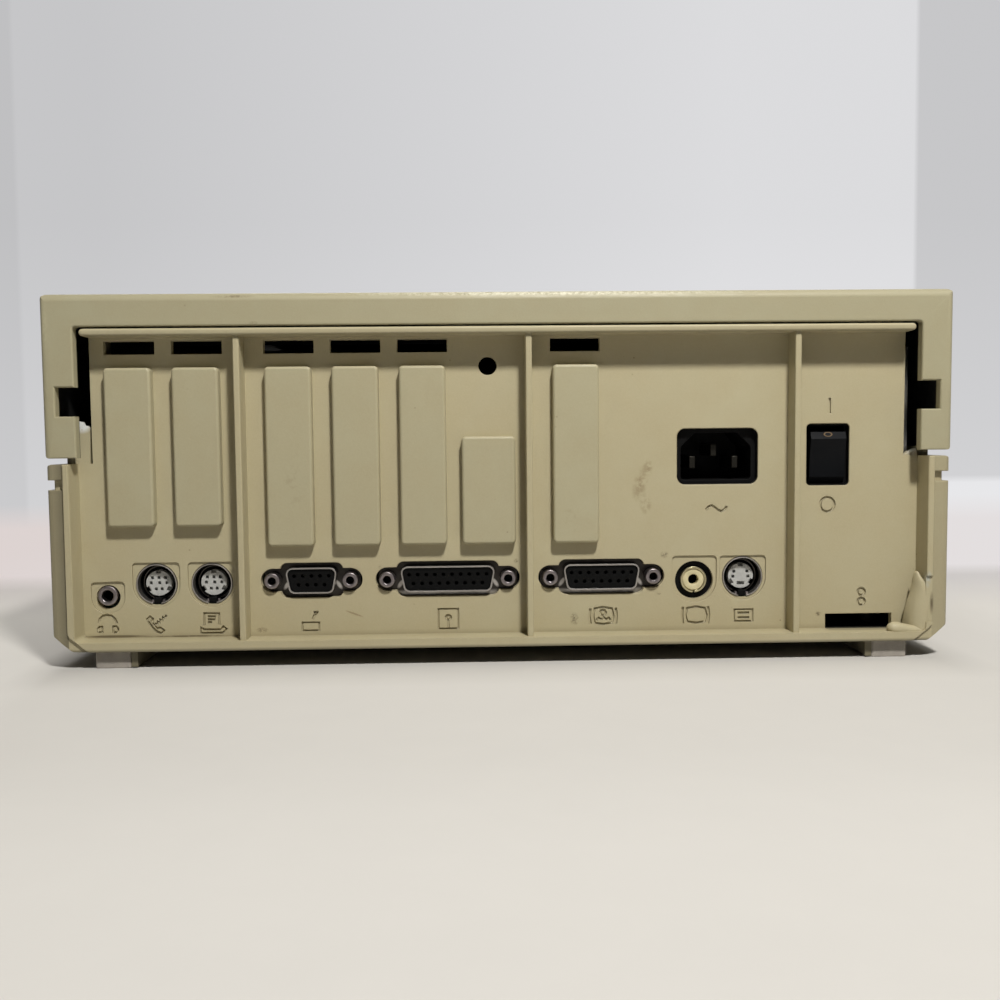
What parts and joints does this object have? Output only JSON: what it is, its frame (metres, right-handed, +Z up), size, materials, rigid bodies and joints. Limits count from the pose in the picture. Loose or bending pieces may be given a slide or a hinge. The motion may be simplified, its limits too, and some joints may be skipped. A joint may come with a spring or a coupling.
{
  "type": "desktop home computer",
  "caption": "Low desktop computer case with a tilting cover, a recessed rear bay of ports and blanking covers, a mains inlet and a rocker switch.",
  "frame": {"origin": "on the table, under the middle of the case", "axes": "+X to the right as seen from behind, +Y from the rear bay to the front panel, +Z up"},
  "size_m": [0.284, 0.348, 0.117],
  "materials": {
    "base_plastic": "fine moulded texture, evenly aged",
    "lid_plastic": "fine moulded texture, evenly aged",
    "cover_plastic": "fine moulded texture",
    "black_plastic": "satin black moulding",
    "rocker_black": "smooth black",
    "plated_steel": "nickel or tin plate, slightly dull",
    "sheet_steel": "folded sheet, plated",
    "blade_brass": "plated contact",
    "barrel_brass": "tarnished plate",
    "board_green": "solder mask over glass laminate",
    "board_brown": "paper laminate",
    "chip_black": "moulded epoxy",
    "connector_black": "moulded",
    "sleeve_blue": "shrink sleeve",
    "core_yellow": "wound core and tape",
    "fin_aluminium": "mill finish",
    "crystal_can": "smooth can",
    "battery_sleeve": "printed sleeve left plain",
    "insert_grey": "pale grey moulding",
    "insulator_cream": "cream moulding",
    "nylon_white": "natural nylon",
    "lead_dark": "soft sheath",
    "lead_red": "soft sheath",
    "lens_red": "translucent red",
    "cone_paper": "pressed paper",
    "foot_grey": "dull grey",
    "screw_steel": "zinc plate"
  },
  "bodies": {
    "base": {"base_case": "base_plastic", "switch_body": "black_plastic", "switch_terminals": "blade_brass", "mains_inlet": "black_plastic", "inlet_blades": "blade_brass", "psu_tray": "sheet_steel", "psu_cover": "sheet_steel", "psu_board": "board_brown", "psu_transformer": "core_yellow", "psu_capacitors": "sleeve_blue", "psu_heat_sinks": "fin_aluminium", "psu_screws": "screw_steel", "logic_board": "board_green", "board_screws": "screw_steel", "slot_connectors": "connector_black", "memory_connector": "connector_black", "processor": "chip_black", "rom_chip": "chip_black", "custom_chips": "chip_black", "memory_chips": "chip_black", "logic_chips": "chip_black", "board_capacitors": "sleeve_blue", "crystal": "crystal_can", "clock_battery": "battery_sleeve", "dsub9_shell": "plated_steel", "dsub9_body": "black_plastic", "dsub19_shell": "plated_steel", "dsub19_body": "black_plastic", "dsub15_shell": "plated_steel", "dsub15_body": "black_plastic", "jack_nuts": "plated_steel", "round_port_shells": "plated_steel", "round_port_housings": "black_plastic", "round_port_inserts": "insert_grey", "phono_barrel": "barrel_brass", "phono_insulator": "insulator_cream", "phono_body": "black_plastic", "headphone_jack": "black_plastic", "headphone_bushing": "plated_steel", "speaker_frame": "sheet_steel", "speaker_cone": "cone_paper", "lamp_lens": "lens_red", "lamp": "lens_red", "lamp_lead": "lead_red", "speaker_lead": "lead_dark", "power_header": "nylon_white", "power_plug": "nylon_white", "power_lead": "lead_dark", "feet": "foot_grey"},
    "cover": {"top_cover": "lid_plastic"},
    "rocker": {"power_rocker": "rocker_black"},
    "blank_1": {"slot_cover_1": "cover_plastic"},
    "blank_2": {"slot_cover_2": "cover_plastic"},
    "blank_3": {"slot_cover_3": "cover_plastic"},
    "blank_4": {"slot_cover_4": "cover_plastic"},
    "blank_5": {"slot_cover_5": "cover_plastic"},
    "blank_6": {"slot_cover_6": "cover_plastic"},
    "blank_7": {"slot_cover_7": "cover_plastic"}
  },
  "joints": [
    {"name": "cover_tilt", "type": "hinge", "parent": "base", "child": "cover", "pos_m": [0, 0.173, 0.06555], "axis": [-1, 0, 0], "range_deg": [0, 60]},
    {"name": "power_rock", "type": "hinge", "parent": "base", "child": "rocker", "pos_m": [0.1054, -0.158, 0.0651], "axis": [-1, 0, 0], "range_deg": [0, 16]},
    {"name": "blank_1_pull", "type": "slide", "parent": "base", "child": "blank_1", "axis": [0, -1, 0], "range_m": [0, 0.016]},
    {"name": "blank_2_pull", "type": "slide", "parent": "base", "child": "blank_2", "axis": [0, -1, 0], "range_m": [0, 0.016]},
    {"name": "blank_3_pull", "type": "slide", "parent": "base", "child": "blank_3", "axis": [0, -1, 0], "range_m": [0, 0.016]},
    {"name": "blank_4_pull", "type": "slide", "parent": "base", "child": "blank_4", "axis": [0, -1, 0], "range_m": [0, 0.016]},
    {"name": "blank_5_pull", "type": "slide", "parent": "base", "child": "blank_5", "axis": [0, -1, 0], "range_m": [0, 0.016]},
    {"name": "blank_6_pull", "type": "slide", "parent": "base", "child": "blank_6", "axis": [0, -1, 0], "range_m": [0, 0.016]},
    {"name": "blank_7_pull", "type": "slide", "parent": "base", "child": "blank_7", "axis": [0, -1, 0], "range_m": [0, 0.016]}
  ]
}
